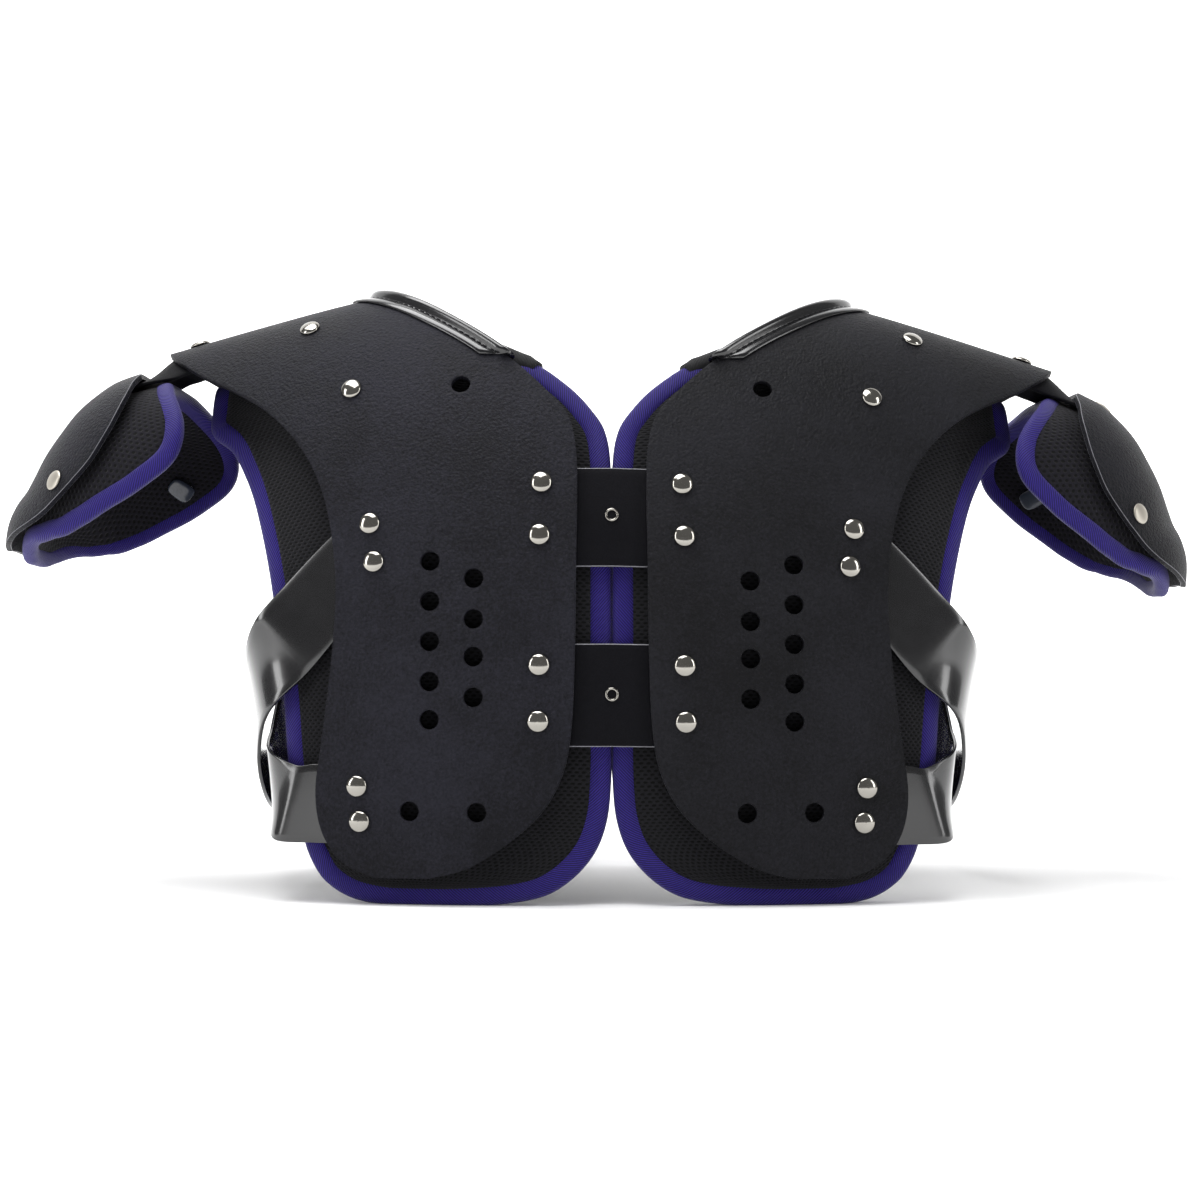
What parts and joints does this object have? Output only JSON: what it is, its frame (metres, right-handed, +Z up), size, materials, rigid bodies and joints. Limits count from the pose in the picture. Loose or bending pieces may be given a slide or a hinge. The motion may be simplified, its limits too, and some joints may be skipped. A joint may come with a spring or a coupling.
{
  "type": "football shoulder pad",
  "caption": "Shoulder guard of two riveted arch plates over bound mesh pads, strapped together at chest and back, with crossed side straps and cupped epaulets.",
  "frame": {"origin": "centre of the bounding box in X and Y, at the surface that the pads stand on", "axes": "+X along the shoulders toward the wearer's left arm, +Y from chest to back, +Z up"},
  "size_m": [0.6378, 0.235, 0.3225],
  "materials": {
    "plate": "fine pebble grain",
    "mesh_pad": "knitted spacer mesh",
    "binding": "ribbed twill tape",
    "neck_roll": "matt woven cloth",
    "nickel": "bright nickel plate",
    "trim": "gloss vinyl with a stitched groove",
    "centre_strap": "fine grain",
    "gloss_strap": "smooth gloss"
  },
  "bodies": {
    "root": {"arch_plate_left": "plate", "arch_plate_right": "plate", "back_strap_lower": "centre_strap", "back_strap_upper": "centre_strap", "body_binding_left": "binding", "body_binding_right": "binding", "body_pad_left": "mesh_pad", "body_pad_right": "mesh_pad", "epaulet_binding_left": "binding", "epaulet_binding_right": "binding", "epaulet_pad_left": "mesh_pad", "epaulet_pad_right": "mesh_pad", "epaulet_plate_left": "plate", "epaulet_plate_right": "plate", "epaulet_strap_left": "gloss_strap", "epaulet_strap_right": "gloss_strap", "epaulet_tab_left": "gloss_strap", "epaulet_tab_right": "gloss_strap", "eyelet_lower": "nickel", "eyelet_upper": "nickel", "front_strap_lower": "centre_strap", "front_strap_upper": "centre_strap", "neck_roll_left": "neck_roll", "neck_roll_right": "neck_roll", "neck_trim_left": "trim", "neck_trim_right": "trim", "rivet_centre_1_left": "nickel", "rivet_centre_1_right": "nickel", "rivet_centre_2_left": "nickel", "rivet_centre_2_right": "nickel", "rivet_centre_3_left": "nickel", "rivet_centre_3_right": "nickel", "rivet_centre_4_left": "nickel", "rivet_centre_4_right": "nickel", "rivet_crest_left": "nickel", "rivet_crest_right": "nickel", "rivet_epaulet_front_left": "nickel", "rivet_epaulet_front_right": "nickel", "rivet_epaulet_top_left": "nickel", "rivet_epaulet_top_right": "nickel", "rivet_shoulder_1_left": "nickel", "rivet_shoulder_1_right": "nickel", "rivet_shoulder_2_left": "nickel", "rivet_shoulder_2_right": "nickel", "rivet_side_1_left": "nickel", "rivet_side_1_right": "nickel", "rivet_side_2_left": "nickel", "rivet_side_2_right": "nickel", "rivet_side_3_left": "nickel", "rivet_side_3_right": "nickel", "rivet_side_4_left": "nickel", "rivet_side_4_right": "nickel", "side_strap_lower_left": "gloss_strap", "side_strap_lower_right": "gloss_strap", "side_strap_upper_left": "gloss_strap", "side_strap_upper_right": "gloss_strap"}
  },
  "joints": []
}
